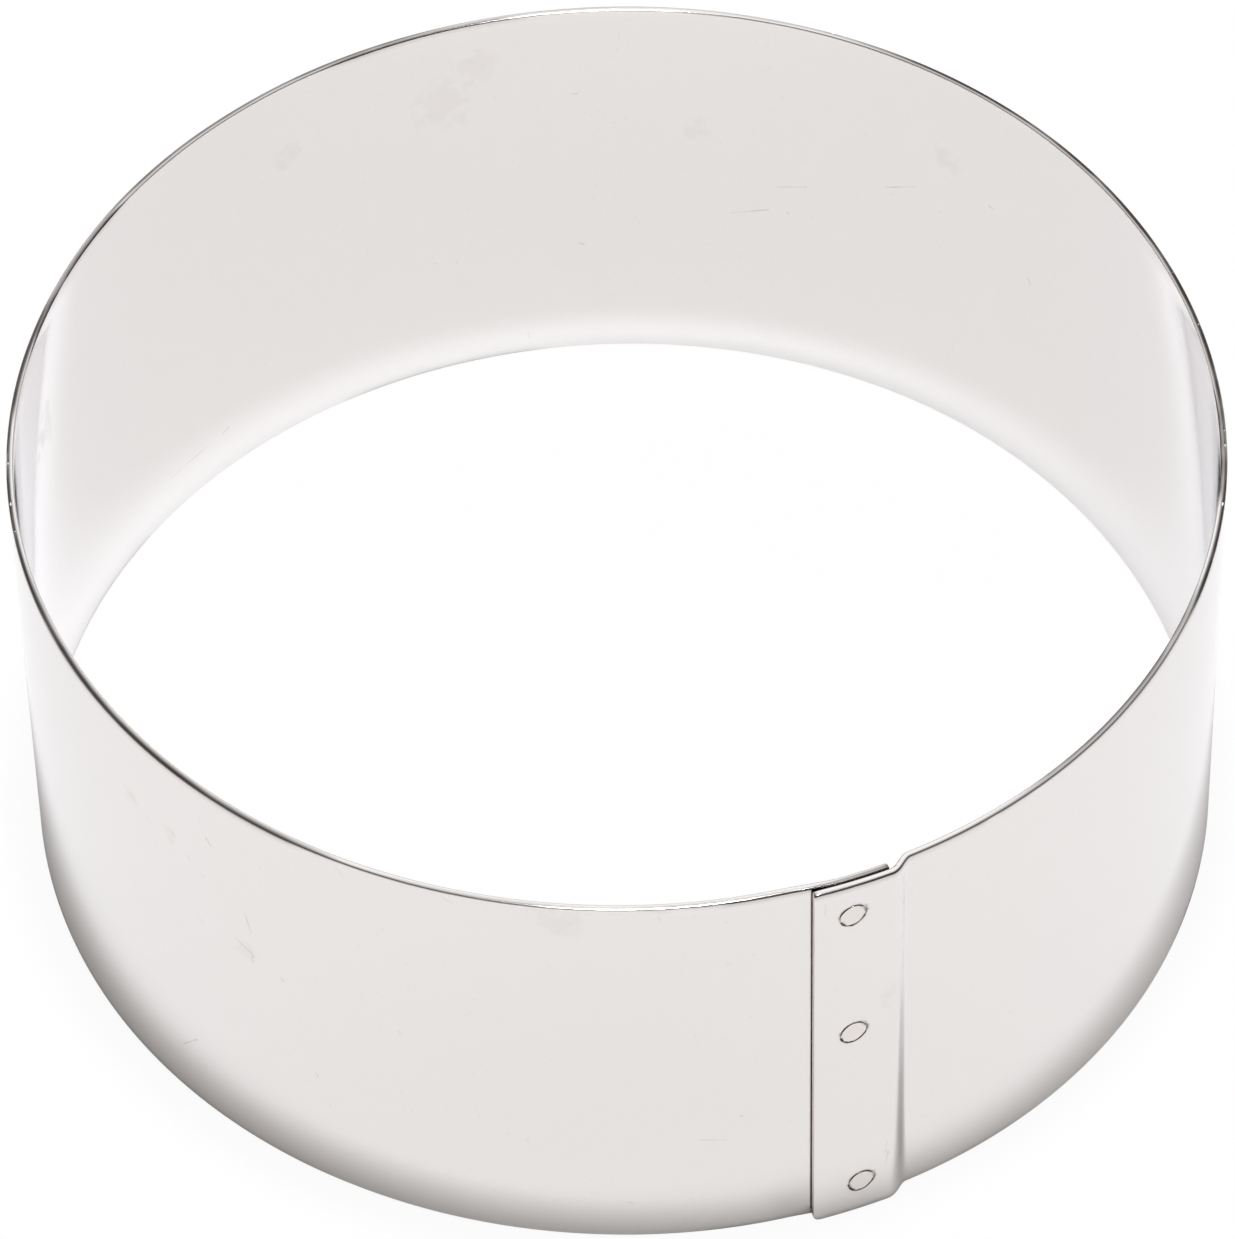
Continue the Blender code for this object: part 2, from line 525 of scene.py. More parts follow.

# %% [markdown]
# A cut edge can be told from a wall by its normal: it faces up or down. The shear leaves its corners torn,
# and a corner's normal lies between the two. The corners are also painted dark, as painted dark reflection,
# and how
# dark changes round the rim: listed stretches say where the outer corner is left bright and where the inner
# one is painted dark. The rim's flat has stretches of painted dark reflection as well, some nearer its inner
# edge and some its outer one. How far out a place lies follows from the strip's own rule, worked out again
# from the place's bearing and its distance from the axis.

# %% Where the rims carry painted dark reflection
# A stretch is its middle bearing and half its width, in degrees, and its strength.
# Painted dark reflection: the outer corners are left bright on these stretches, and the inner corners are
# painted dark on the next ones.
OUTER_CORNERS_LEFT_BRIGHT = (
    (90.0, 44.0, 0.65), (156.0, 12.0, 0.7), (216.0, 30.0, 0.5), (256.0, 22.0, 0.95), (303.0, 9.0, 0.5),
    (322.0, 18.0, 0.9), (0.0, 8.0, 0.6),
)
INNER_CORNERS_PAINTED_DARK = ((108.0, 12.0, 0.8), (157.0, 13.0, 1.0), (324.0, 16.0, 0.9), (358.0, 8.0, 1.0))

# A band is its middle and its reach, with the sheet running from -1 inside to 1 outside, and its stretches.
# Painted dark reflection: bands across the rim's flat are painted near black along these stretches.
DARK_FACE_BANDS = (
    (0.65, 0.75, ((347.0, 12.0, 0.8), (188.0, 18.0, 0.85), (141.0, 7.0, 0.7))),
    (0.25, 0.95, (
        (31.0, 40.0, 1.1), (18.0, 18.0, 1.2), (127.0, 24.0, 0.72), (168.0, 9.0, 0.85), (213.0, 20.0, 0.78),
        (232.0, 12.0, 0.5),
    )),
    (-0.65, 0.75, ((109.0, 12.0, 0.7), (156.0, 12.0, 0.9), (324.0, 17.0, 0.8), (357.0, 8.0, 0.9))),
    (1.0, 0.5, ((290.5, 5.0, 0.65),)),
)
FULL_STRETCH_SHARE = 0.6


def bearing_and_lift(position):
    """A place's bearing, and how far it lies outside the hoop's outer face."""
    x, y, _ = position.parts()
    bearing = y.math("ARCTAN2", x)
    return bearing, (x * x + y * y).math("SQRT") - hoop_share(bearing, OUT_OF_ROUND_SHARES) * RADIUS


def stretches(radial, listed):
    """The strongest of some stretches of the rim. Each is at full strength over most of its width."""
    total = 0
    for degrees, half, strength in listed:
        bearing, half = math.radians(degrees), math.radians(half)
        closeness = radial.vector("DOT_PRODUCT", (math.cos(bearing), math.sin(bearing), 0))
        one = closeness.rise(math.cos(half), math.cos(half * FULL_STRETCH_SHARE)) * strength
        total = one.math("MAXIMUM", total)
    return total


print("rim stretches ready")

# %% [markdown]
# Each mask below rises softly between two values. Steepness is how much a normal points up or down, from 0
# on a wall to 1 on the flat of a rim. Outwardness is how much it points away from the axis. The painted dark
# reflection on the corners and on the flat follows one noise, so that both are strong in the same places.

# %% Cut edges
EDGE_LOOK = {"Torn per metre": 160.0}
LEVEL = (1.0, 1.0, 0.0)
FACE_STEEPNESS = (0.75, 0.95)
DARK_FACE_STEEPNESS = (0.10, 0.35)
CORNER_FROM_WALL = (0.04, 0.16)
CORNER_TO_FACE = (0.97, 0.77)
END_STEEPNESS = (1 / 3, 0.0)
END_OUTWARDNESS = (0.5, 0.0)
SIDE_OUTWARDNESS = (0.0, 0.2)
SIDE_CONTRAST = 4.0
TEAR_NOISE = (0.25, 0.45)
FACE_DARKENING_NOISE = (0.3, 0.6)
TEAR_DETAIL = 2.0
LEAST_FACE_DARKENING = 0.8
FACE_DARKENING_SPREAD = 0.4


def cut_edge_group():
    tree, given = new_tree("Cut edge", Vector=("Position", "Normal"), Float=EDGE_LOOK)
    position = given["Position"]
    steep = given["Normal"].parts()[2].math("ABSOLUTE")
    radial = position.vector("MULTIPLY", LEVEL).vector("NORMALIZE")
    outward = radial.vector("DOT_PRODUCT", given["Normal"])
    corner = steep.rise(*CORNER_FROM_WALL) * steep.rise(*CORNER_TO_FACE)
    outer = outward.rise(*SIDE_OUTWARDNESS) * (1 - stretches(radial, OUTER_CORNERS_LEFT_BRIGHT))
    inner = (-outward).rise(*SIDE_OUTWARDNESS) * stretches(radial, INNER_CORNERS_PAINTED_DARK)
    torn = position.noise(given["Torn per metre"], TEAR_DETAIL)
    across = bearing_and_lift(position)[1] * (2 / SHEET) + 1
    dark_face = 0
    for place, reach, listed in DARK_FACE_BANDS:
        band = (1 - (across - place).math("ABSOLUTE") / reach).between(0, 1).math("SQRT")
        dark_face = (band * stretches(radial, listed)).math("MAXIMUM", dark_face)
    uneven = LEAST_FACE_DARKENING + FACE_DARKENING_SPREAD * torn.rise(*FACE_DARKENING_NOISE)
    return put_out(tree, {
        "Face": steep.rise(*FACE_STEEPNESS),
        # Painted dark reflection on stretches of the rim's flat.
        "Painted dark face": dark_face * uneven * steep.rise(*DARK_FACE_STEEPNESS),
        "End": outward.math("ABSOLUTE").rise(*END_OUTWARDNESS) * steep.rise(*END_STEEPNESS),
        # Painted dark reflection along the rims' corners, which also roughens them.
        "Torn corner with painted dark reflection": corner * (outer + inner) * torn.rise(*TEAR_NOISE),
        "Outer side": (outward * SIDE_CONTRAST + 0.5).between(0, 1),
    })


CUT_EDGE = cut_edge_group()
print("cut edge:", len(CUT_EDGE.nodes), "nodes")

# %% [markdown]
# A scratch is every place close to a line between two points, and a finger mark is every place close to one
# point. Both groups put out a nearness, which is 1 on the mark and falls below 0 away from it. The greatest
# nearness to many marks is softened and broken up once for all of them. The distance to a line takes a little
# vector arithmetic: how far along the line the nearest point is, held between its ends, and then how far away
# that point is.

# %% Scratches and finger marks
def scratch_group():
    tree, given = new_tree("Scratch", Vector=("Position", "Start", "Line"),
                           Float=("Length", "Width"))
    away = given["Position"].vector("SUBTRACT", given["Start"])
    share = away.vector("DOT_PRODUCT", given["Line"]) / (given["Length"] * given["Length"])
    distance = away.vector("DISTANCE", given["Line"].scaled(share.between(0, 1)))
    return put_out(tree, {"Nearness": 1 - distance / given["Width"]})


def finger_mark_group():
    tree, given = new_tree("Finger mark", Vector=("Position", "Place"), Float=("Radius",))
    distance = given["Position"].vector("DISTANCE", given["Place"])
    return put_out(tree, {"Nearness": 1 - distance / given["Radius"]})


def greatest(tree, nodes, output):
    """The greatest of what several nodes put out under one name."""
    most, *others = (Field(tree, node.outputs[output]) for node in nodes)
    for other in others:
        most = most.math("MAXIMUM", other)
    return most


SCRATCH = scratch_group()
FINGER_MARK = finger_mark_group()
print("scratch and finger mark ready")

# %% [markdown]
# ## Where the welds stand
#
# Each spot weld is a piece of the measured model, so its box there gives its middle. Its own axes are right,
# up and outward, as someone facing the lap would say.

# %% Places of the welds
WELD_NODES = {
    "weld_bottom": "bottom_spot_weld",
    "weld_middle": "middle_spot_weld",
    "weld_top": "top_spot_weld",
}
JOINT_THICKNESS = LAP_STEP + SHEET


def weld_axes(node):
    """A weld's middle and its axes, as a matrix: right, up, outward."""
    low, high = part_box(node)
    middle = (Vector(low) + Vector(high)) / 2
    outward = Vector((middle.x, middle.y, 0)).normalized()
    up = Vector((0, 0, 1))
    turned = Matrix((up.cross(outward), up, outward)).transposed().to_4x4()
    return Matrix.Translation(middle) @ turned


WELD_AXES = {node: weld_axes(node) for node in WELD_NODES}
for node, axes in WELD_AXES.items():
    print(node, "at", [round(value / MM, 2) for value in axes.translation], "mm")

# %% [markdown]
# Round each weld the electrodes leave a scorched line and a heat tint. The line is broken all round. It is
# dark at its lower left and at its right, wider and fainter at its upper right, where it is smeared, and
# nearly straight at its lower right. A side is a direction, and how far a place lies that way is measured in
# radii of the line.

# %% Weld marks
WELD_SIDES = {
    "Dark side": Vector((-0.64, -0.77, 0.0)),
    "Smeared side": Vector((0.86, 0.5, 0.0)),
    "Flat side": Vector((0.77, -0.64, 0.0)),
}
WELD_LOOK = {"Radius": 1.38 * MM, "Line width": 0.23 * MM}
MARK_OFFSET = Vector((-0.04, 0.04, 0.0)) * MM
FLATTENING = 0.22 * MM
WELD_REACH = (4.0 * MM, 3.0 * MM)
DARK_SIDE = (0.55, 0.80)
DARK_RIGHT = (0.82 / 0.75, 0.97 / 0.75)
SMEARED_SIDE = (0.72, 0.97)
FLAT_SIDE = (0.55, 1.0)
HALO_FALL = (1.6, 0.6)
BREAKS_PER_METRE = 2100.0
BREAK_NOISE = (0.42, 0.58)
LEAST_WIDTH = 0.65
WIDTH_FROM_BREAKS = 0.8
WIDTH_FROM_SMEAR = 0.9
LEAST_STRENGTH = 0.34
STRENGTH_FROM_BREAKS = 0.16
STRENGTH_IF_DARK = 0.65
STRENGTH_LOST_TO_SMEAR = 0.35


def weld_mark_group():
    tree, given = new_tree(
        "Weld mark", Vector=("Position", "Place", "Outward", *WELD_SIDES),
        Float=(*WELD_LOOK, "Breaks", "Flattening"),
    )
    breaks = given["Breaks"]
    away = given["Position"].vector("SUBTRACT", given["Place"])
    beside = away.vector("CROSS_PRODUCT", given["Outward"]).vector("LENGTH")
    near = away.vector("LENGTH").rise(*WELD_REACH)
    dark, smear, flat = (away.vector("DOT_PRODUCT", given[side]) / given["Radius"] for side in WELD_SIDES)
    dark = dark.rise(*DARK_SIDE).math("MAXIMUM", (flat + smear).rise(*DARK_RIGHT))
    smear = smear.rise(*SMEARED_SIDE)
    width = given["Line width"] * (LEAST_WIDTH + WIDTH_FROM_BREAKS * breaks + WIDTH_FROM_SMEAR * smear)
    from_line = beside - given["Radius"] + given["Flattening"] * flat.rise(*FLAT_SIDE)
    line = (1 - from_line.math("ABSOLUTE") / width).eased()
    strength = LEAST_STRENGTH + STRENGTH_FROM_BREAKS * breaks + STRENGTH_IF_DARK * (dark * breaks)
    return put_out(tree, {
        "Line": line * strength * (1 - STRENGTH_LOST_TO_SMEAR * smear) * near,
        "Halo": (beside / given["Radius"]).rise(*HALO_FALL) * near,
    })


def weld_marks_group(mark):
    """The marks of all three welds together."""
    tree, given = new_tree("Weld marks", Vector=("Position",), Float=WELD_LOOK)
    breaks = given["Position"].noise(BREAKS_PER_METRE).rise(*BREAK_NOISE)
    marks = [
        placed(tree, mark, {
            **given, "Place": axes @ MARK_OFFSET, "Outward": axes.col[2].to_3d(), "Breaks": breaks,
            "Flattening": FLATTENING, **{side: axes.to_3x3() @ way for side, way in WELD_SIDES.items()},
        })
        for axes in WELD_AXES.values()
    ]
    return put_out(tree, {output: greatest(tree, marks, output) for output in ("Line", "Halo")})


WELD_MARKS = weld_marks_group(weld_mark_group())
print("weld marks:", len(WELD_MARKS.nodes), "nodes")

# %% [markdown]
# Everything that lies in the gap between the two layers is painted black, as painted shadow: that is what
# draws the thin black line beside the free edge. The gap's inner side moves out as the layers close up
# towards the welds, by the same rule that shaped the strip.

# %% Painted shadow in the lap
# Painted shadow: where the gap lies in shade, the steel is painted black.
GAP_SHADE_EDGE = (-0.06 * MM, 0.02 * MM)
GAP_SHADE_END = (-1.0 * MM, 0.0)


def lap_gap_shade_group():
    tree, given = new_tree("Lap gap shade", Vector=("Position",))
    bearing, lift = bearing_and_lift(given["Position"])
    along = (bearing - (FREE_EDGE_BEARING - math.tau)) * RADIUS
    closed = (along + STRIP_VALUES["Closing start"]).rise(0, STRIP_VALUES["Closing length"])
    in_gap = (lift - closed * STRIP_VALUES["Closing"]).rise(*GAP_SHADE_EDGE) * (LAP_GAP - lift).rise(*GAP_SHADE_EDGE)
    in_lap = along.rise(*GAP_SHADE_EDGE) * (LAP_WIDTH - along).rise(*GAP_SHADE_END)
    return put_out(tree, {"Gap shade": in_gap * in_lap})


LAP_GAP_SHADE = lap_gap_shade_group()
print("lap dirt:", len(LAP_GAP_SHADE.nodes), "nodes")

# %% [markdown]
# ## Marks of use
#
# The ring has been handled, which left a few greasy finger marks and short scratches. They are listed by
# bearing and height on the inner wall, the outer wall or the lap. A list like this is quicker to correct than
# a pattern, and each mark falls exactly where it is wanted.

# %% Places of the marks
# A finger mark is its bearing in degrees, and its height and radius in millimetres.
FINGER_MARKS = {
    "inner": (
        (106.6, 39.6, 5.2), (103.4, 44.3, 3.6), (123.9, 40.0, 3.0), (81.2, 33.0, 2.4), (54.4, 38.4, 2.6),
        (165.3, 36.7, 4.0),
    ),
    "outer": ((232.0, 29.6, 2.2), (217.4, 40.4, 1.8), (223.1, 39.7, 1.6), (263.5, 48.2, 3.6)),
    "lap": ((293.7, 32.0, 2.2),),
}

# A scratch is the bearing and the height of its start, and then those of its end.
SCRATCHES = {
    "inner": (
        (73.2, 26.1, 70.0, 27.1), (61.4, 30.6, 58.0, 32.4), (77.9, 21.1, 74.0, 22.5),
        (141.9, 5.4, 136.4, 5.4), (134.3, 5.6, 133.3, 5.9), (49.2, 35.1, 48.6, 34.9),
        (43.8, 28.1, 43.4, 27.5), (93.4, 15.9, 92.9, 15.6), (98.9, 3.0, 98.8, 2.2),
        (106.1, 16.0, 106.0, 15.5), (108.5, 16.4, 108.2, 16.2), (93.8, 38.1, 93.1, 38.2),
        (72.0, 22.7, 71.8, 22.5),
    ),
    "outer": (
        (222.5, 7.1, 224.5, 9.6), (276.1, 14.6, 278.6, 14.1), (226.2, 30.0, 227.0, 29.6),
        (232.7, 30.0, 232.8, 28.4), (258.3, 15.0, 258.5, 14.9), (279.9, 17.6, 280.1, 17.5),
        (269.4, 5.3, 270.0, 5.1), (239.2, 15.9, 239.4, 15.4), (272.6, 48.9, 272.9, 48.4),
        (217.4, 40.8, 218.4, 40.0), (219.8, 39.5, 220.3, 39.0), (223.4, 40.5, 223.8, 40.2),
        (225.2, 38.5, 225.6, 38.2), (227.0, 37.3, 227.4, 37.0), (232.2, 35.5, 232.8, 33.0),
        (230.8, 30.7, 233.0, 29.5), (236.0, 28.3, 236.2, 28.0), (228.0, 43.5, 228.6, 42.7),
        (242.8, 49.0, 243.4, 48.2), (253.2, 49.2, 254.0, 48.7),
    ),
    "lap": ((293.6, 9.2, 293.45, 7.6), (293.75, 7.7, 293.5, 5.9), (287.5, 48.3, 287.5, 46.9)),
}
SCRATCH_WIDTH = 0.16 * MM
WALL_LIFTS = {"inner": -SHEET, "outer": 0, "lap": LAP_STEP, "rim": -0.25 * SHEET}


def wall_radius(bearing):
    """Outer radius of the hoop at a bearing, without the lap."""
    return RADIUS * hoop_share(bearing, OUT_OF_ROUND_SHARES, math.cos)


def turned(radius, turn, height):
    """A place from its distance to an axis, its turn round it and its height."""
    return Vector((radius * math.cos(turn), radius * math.sin(turn), height))


def on_wall(wall, degrees, height):
    """A point on the ring's skin. The height is in millimetres."""
    bearing = math.radians(degrees)
    return turned(wall_radius(bearing) + WALL_LIFTS[wall], bearing, height * MM)


for wall in SCRATCHES:
    print(wall, "wall:", len(FINGER_MARKS[wall]), "finger marks,", len(SCRATCHES[wall]), "scratches")

# %% [markdown]
# ## The two steels
#
# Both steels are metallic, so their base colour tints what they mirror. The masks then change it: finger
# marks warm and dull it, a cut face is greyer, and the scorched line round a weld is dark. The rims' corners
# and stretches of their flat are painted near black as painted dark reflection, and the gap in the lap is
# painted black as painted shadow. Each mask that colours the steel is a layer, laid over those listed before
# it. The mill's lines also go to a Bump node, which tilts the mirror by a hair without moving the mesh.

# %% Masks of a steel
# A finger's grease lies in blotches, which follow a noise, and a scratch is broken up by the same noise.
SKIN_NOISE_PER_METRE = 700.0
SKIN_NOISE_DETAIL = 3.0
BLOTCH_CONTRAST = 2.2
BLOTCH_LEVELS = (0.15, 0.85)
FINGER_EDGE = (0.0, 0.25)
SCRATCH_NOISE = (0.42, 0.62)
LEAST_SCRATCH = 0.35
SPECK_SHARE = 0.26


def finger_marks(tree, position, walls):
    """Nearness to the finger marks on these walls."""
    marks = [
        {"Position": position, "Place": on_wall(wall, bearing, height), "Radius": radius * MM}
        for wall in walls for bearing, height, radius in FINGER_MARKS[wall]
    ]
    return greatest(tree, [placed(tree, FINGER_MARK, mark) for mark in marks], "Nearness").between(0, 1)


def scratch(tree, position, wall, start, low, end, high):
    first = on_wall(wall, start, low)
    line = on_wall(wall, end, high) - first
    return placed(tree, SCRATCH, {
        "Position": position, "Start": first, "Line": line, "Length": line.length, "Width": SCRATCH_WIDTH,
    })


def use_masks(tree, position, specks, outer_side):
    """Masks of the finger marks and the scratches. A finger mark stays on its own side of the thin sheet."""
    outside = finger_marks(tree, position, ("outer", "lap")) * outer_side
    fingers = outside.math("MAXIMUM", finger_marks(tree, position, ("inner",)) * (1 - outer_side))
    skin = position.noise(SKIN_NOISE_PER_METRE, SKIN_NOISE_DETAIL)
    blotches = (fingers + (skin - NOISE_MIDDLE) * BLOTCH_CONTRAST).rise(*BLOTCH_LEVELS)
    all_scratches = [scratch(tree, position, wall, *ends) for wall in SCRATCHES for ends in SCRATCHES[wall]]
    broken = LEAST_SCRATCH + (1 - LEAST_SCRATCH) * skin.rise(*SCRATCH_NOISE)
    scratches = greatest(tree, all_scratches, "Nearness").eased() * broken
    return {
        "Fingers": blotches * fingers.rise(*FINGER_EDGE),
        "Scratches": scratches,
        "Scratches or specks": scratches.math("MAXIMUM", specks * SPECK_SHARE),
    }


def steel_masks(tree, position, normal, used):
    """All the masks of a steel by name. Only a steel that has been used has marks of use."""
    groups = (
        placed(tree, MILL_GRAIN, {"Position": position, **SKIN_LOOK}),
        placed(tree, CUT_EDGE, {"Position": position, "Normal": normal, **EDGE_LOOK}),
        placed(tree, WELD_MARKS, {"Position": position, **WELD_LOOK}),
        placed(tree, LAP_GAP_SHADE, {"Position": position}),
    )
    masks = {socket.name: Field(tree, socket) for group in groups for socket in group.outputs}
    # Painted dark reflection on the rims' corners and painted shadow in the lap's gap share one near-black
    # layer.
    masks["Painted dark corner or gap shade"] = masks["Torn corner with painted dark reflection"].math("MAXIMUM", masks["Gap shade"])
    if used:
        masks.update(use_masks(tree, position, masks["Specks"], masks["Outer side"]))
    return masks


print("masks ready")

# %% Mixing a steel
# What is laid over the steel, from the lowest layer up: how strongly, and in which colour.
LAYERS = {
    "Halo": (0.35, (0.78, 0.71, 0.66, 1)),
    "Fingers": (0.19, (0.66, 0.61, 0.54, 1)),
    "Scratches or specks": (0.5, (0.45, 0.43, 0.42, 1)),
    "Face": (0.8, (0.76, 0.74, 0.73, 1)),
    # Painted dark reflection on stretches of the rims' flat.
    "Painted dark face": (0.92, (0.088, 0.068, 0.060, 1)),
    "End": (0.9, (0.50, 0.40, 0.39, 1)),
    # Painted dark reflection on the rims' corners, and painted shadow in the lap's gap.
    "Painted dark corner or gap shade": (0.95, (0.052, 0.040, 0.034, 1)),
    "Line": (0.9, (0.06, 0.05, 0.047, 1)),
}

# How much each mask adds to the roughness
ROUGHENING = {"Lines": 0.03, "Clouds": 0.04, "Face": 0.06, "Torn corner with painted dark reflection": 0.25, "Line": 0.3, "Fingers": 0.10,
              "Scratches": 0.15}
EDGE_ON_TINT = (0.96, 0.96, 0.97, 1)
BUMP_DEPTH = 0.004 * MM


def new_metal(name):
    """A metallic material. Returns it with its tree and its shader."""
    material = bpy.data.materials.new(name)
    material.use_nodes = True
    shader = material.node_tree.nodes["Principled BSDF"]
    shader.inputs["Metallic"].default_value = 1.0
    return material, material.node_tree, shader


def steel_finish(name, colour, roughness, used):
    material, tree, shader = new_metal(name)
    shader.inputs["Specular Tint"].default_value = EDGE_ON_TINT
    position = made(tree, "ShaderNodeTexCoord", output="Object")
    normal = made(tree, "ShaderNodeTexCoord", output="Normal")
    masks = steel_masks(tree, position, normal, used)
    for mask, (strength, tint) in LAYERS.items():
        if mask in masks:
            colour = (masks[mask] * strength).mix(colour, tint)
    rough = sum((masks[mask] * added for mask, added in ROUGHENING.items() if mask in masks), roughness)
    bump = made(tree, "ShaderNodeBump", {"Height": masks["Lines"], "Distance": BUMP_DEPTH, "Strength": 1.0})
    fill(shader, {"Base Color": colour, "Roughness": rough, "Normal": bump})
    return material


BRIGHT_STEEL = steel_finish("bright_rolled_steel", (0.812, 0.786, 0.776, 1), 0.06, used=True)
PRESSED_STEEL = steel_finish("pressed_weld_steel", (0.80, 0.765, 0.75, 1), 0.13, used=False)
print("steels:", BRIGHT_STEEL.name, PRESSED_STEEL.name)

# %% [markdown]
# A fresh nick in a rim is clean, bright metal with a dull grain, which scatters the lamp's light every way.

# %% Fresh steel
FRESH_GRAIN_PER_METRE = 9000.0
FRESH_COLOURS = ((0.86, 0.85, 0.84, 1), (0.95, 0.94, 0.93, 1))
FRESH_ROUGHNESS = 0.3
FRESH_ROUGHENING = 0.2


def fresh_steel():
    material, tree, shader = new_metal("fresh_steel")
    grain = made(tree, "ShaderNodeTexCoord", output="Object").noise(FRESH_GRAIN_PER_METRE)
    rough = FRESH_ROUGHNESS + grain * FRESH_ROUGHENING
    fill(shader, {"Base Color": grain.mix(*FRESH_COLOURS), "Roughness": rough})
    return material


FRESH_STEEL = fresh_steel()
print("nicks:", FRESH_STEEL.name)

# %% [markdown]
# ## Making the strip
#
# Now the strip's tree runs with its real steel.

# %% The rolled strip
strip = grown("rolled_strip", STRIP_TREE, {**STRIP_VALUES, **STRIP_COUNTS, "Material": BRIGHT_STEEL})
print(size_text(strip))

# %% [markdown]
# ## The spot welds
#
# Two copper electrodes squeeze the layers together and a current melts them where they touch. What shows is a
# round print on each side: a flat disc the colour of the sheet, in a thin groove that is deeper on one side,
# because the electrodes never meet quite square. A drawn ring would look flat from close by, so each weld is
# a real plug turned about its own axis, its groove is cut into the plug's edge, and the strip has a hole for
# it. The layers close up at the welds, so the joint is thinner there than in the measured model.

# %% A closed shape turned about a weld's axis
TURN_SIDES = 96
OUTER_FACE = JOINT_THICKNESS / 2
INNER_FACE = -JOINT_THICKNESS / 2 + STRIP_VALUES["Closing"]


def as_mesh(shape, name):
    """A mesh of this shape, which is freed."""
    mesh = bpy.data.meshes.new(name)
    shape.to_mesh(mesh)
    shape.free()
    return mesh


def turned_mesh(node, name, pole, rings):
    """A closed shape at a weld, the same on its two sides.

    `rings(node, turn)` gives each ring's radius, and how deep it lies in the sheet, as `pole` does.
    """
    shape = bmesh.new()
    columns = []
    for side in range(TURN_SIDES):
        turn = math.tau * side / TURN_SIDES
        half = rings(node, turn)
        outer = [turned(radius, turn, OUTER_FACE - depth) for radius, depth in half]
        inner = [turned(radius, turn, INNER_FACE + depth) for radius, depth in reversed(half)]
        columns.append([shape.verts.new(place) for place in outer + inner])
    start = shape.verts.new((0, 0, OUTER_FACE - pole))
    end = shape.verts.new((0, 0, INNER_FACE + pole))
    for column, after in zip(columns, columns[1:] + columns[:1]):
        shape.faces.new((start, column[0], after[0]))
        for upper, lower, lower_after, upper_after in zip(column, column[1:], after[1:], after):
            shape.faces.new((upper, lower, lower_after, upper_after))
        shape.faces.new((end, after[-1], column[-1]))
    mesh = as_mesh(shape, name)
    mesh.transform(WELD_AXES[node])
    return mesh


def hump(turn, middle, width):
    """A smooth rise to 1 at the middle turn. The middle and the width are in degrees."""
    off = math.remainder(turn - math.radians(middle), math.tau)
    return math.exp(-((off / math.radians(width)) ** 2))


print("turning ready")

# %% [markdown]
# Each weld's groove has its own deep stretches, and one has a break. A print isn't a true circle either: it
# leans to the upper left, and its lower right side is nearly straight.

# %% Shape of a weld
DISC_RADIUS = 1.31 * MM
FLANGE_RADIUS = 1.43 * MM
HOLE_RADIUS = 1.44 * MM
DISC_DISH = 0.012 * MM
HALFWAY_DISH_SHARE = 0.6
DISC_EDGE = 0.02 * MM
GROOVE_DEPTH = 0.09 * MM
LEAST_DEPTH = 0.004 * MM

# A stretch is its middle turn and its width in degrees, and what it adds to the depth in millimetres.
GROOVE_STRETCHES = {
    "weld_bottom": ((205, 9, 0.09), (247, 9, 0.09), (226, 7, -0.10), (300, 12, 0.08)),
    "weld_middle": ((322, 20, 0.07), (208, 8, 0.08), (238, 8, 0.08)),
    "weld_top": ((322, 24, 0.10), (224, 9, 0.09)),
}

# A lobe is how many times it repeats, its size in millimetres and its turn in degrees. A ripple has no turn
# of its own: the turn steps on from weld to weld.
PRINT_LOBES = ((1, 0.06, 135), (2, 0.055, 45))
PRINT_RIPPLES = ((3, 0.016), (5, 0.008))
RIPPLE_STEP = 2.1
STRAIGHT_SIDE = (320, 36)
STRAIGHTENING = 0.12
WELD_SHARP_ANGLE = math.radians(40)


def groove_depth(node, turn):
    extra = sum(hump(turn, middle, width) * depth for middle, width, depth in GROOVE_STRETCHES[node])
    return max(GROOVE_DEPTH + extra * MM, LEAST_DEPTH)


def out_of_round(node, turn):
    """How far the print's edge lies outside its circle."""
    start = sorted(WELD_NODES).index(node) * RIPPLE_STEP
    lobes = sum(size * math.cos(count * (turn - math.radians(lobe))) for count, size, lobe in PRINT_LOBES)
    ripples = sum(size * math.cos(count * turn + start) for count, size in PRINT_RIPPLES)
    return (lobes + ripples - STRAIGHTENING * hump(turn, *STRAIGHT_SIDE)) * MM


def plug_rings(node, turn):
    depth = groove_depth(node, turn)
    disc = DISC_RADIUS + out_of_round(node, turn)
    return [
        (0.5 * disc, DISC_DISH * HALFWAY_DISH_SHARE),
        (disc - 3 * DISC_EDGE, 0.0),
        (disc - DISC_EDGE, 0.0),
        (disc, DISC_EDGE / 2),
        (disc + DISC_EDGE / 2, min(depth, DISC_EDGE * 2)),
        (disc + DISC_EDGE, depth),
        (FLANGE_RADIUS + out_of_round(node, turn), depth),
    ]


def smooth(mesh, sharp_angle):
    mesh.shade_smooth()
    mesh.set_sharp_from_angle(angle=sharp_angle)


def spot_weld(node, name):
    mesh = turned_mesh(node, name, DISC_DISH, plug_rings)
    mesh.materials.append(PRESSED_STEEL)
    smooth(mesh, WELD_SHARP_ANGLE)
    return add_object(name, mesh)


spot_welds = {node: spot_weld(node, name) for node, name in WELD_NODES.items()}
for piece in spot_welds.values():
    print(size_text(piece))

# %% [markdown]
# ## Holes and nicks
#
# The strip's holes are cut with plugs a hair larger than the welds, with flared mouths, so that the groove's
# outer side is a soft lip. The rims also have nicks, where the ring has knocked against others in a drawer.
# Small balls, stretched along the rim, take them out. All the cutters are joined into one mesh, because one
# Boolean is faster and safer than many.

# %% Cutters
LIP = 0.05 * MM
OVERRUN = 0.5 * MM

